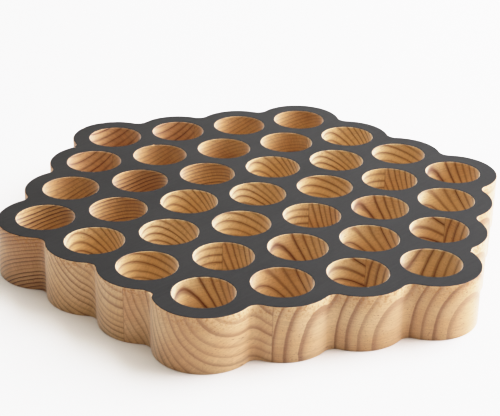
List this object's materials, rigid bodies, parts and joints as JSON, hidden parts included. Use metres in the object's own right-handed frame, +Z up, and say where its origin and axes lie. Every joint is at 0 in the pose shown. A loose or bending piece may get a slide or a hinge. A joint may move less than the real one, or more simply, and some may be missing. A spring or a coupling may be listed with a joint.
{
  "type": "marble solitaire board",
  "caption": "Flat hexagonal peg or marble solitaire board with a scalloped edge, blind round sockets on a triangular lattice, edge-glued softwood staves and a painted top face.",
  "frame": {"origin": "middle of the underside", "axes": "+Z up through the sockets' mouths, +X from corner to corner of the six sides"},
  "size_m": [0.2334, 0.2076, 0.0246],
  "materials": {
    "softwood": "sanded, clear matt oil",
    "paint": "matt rolled paint film"
  },
  "bodies": {
    "root": {"stave_1": "softwood", "stave_2": "softwood", "stave_3": "softwood", "stave_4": "softwood", "stave_5": "softwood", "top_coat": "paint"}
  },
  "joints": []
}
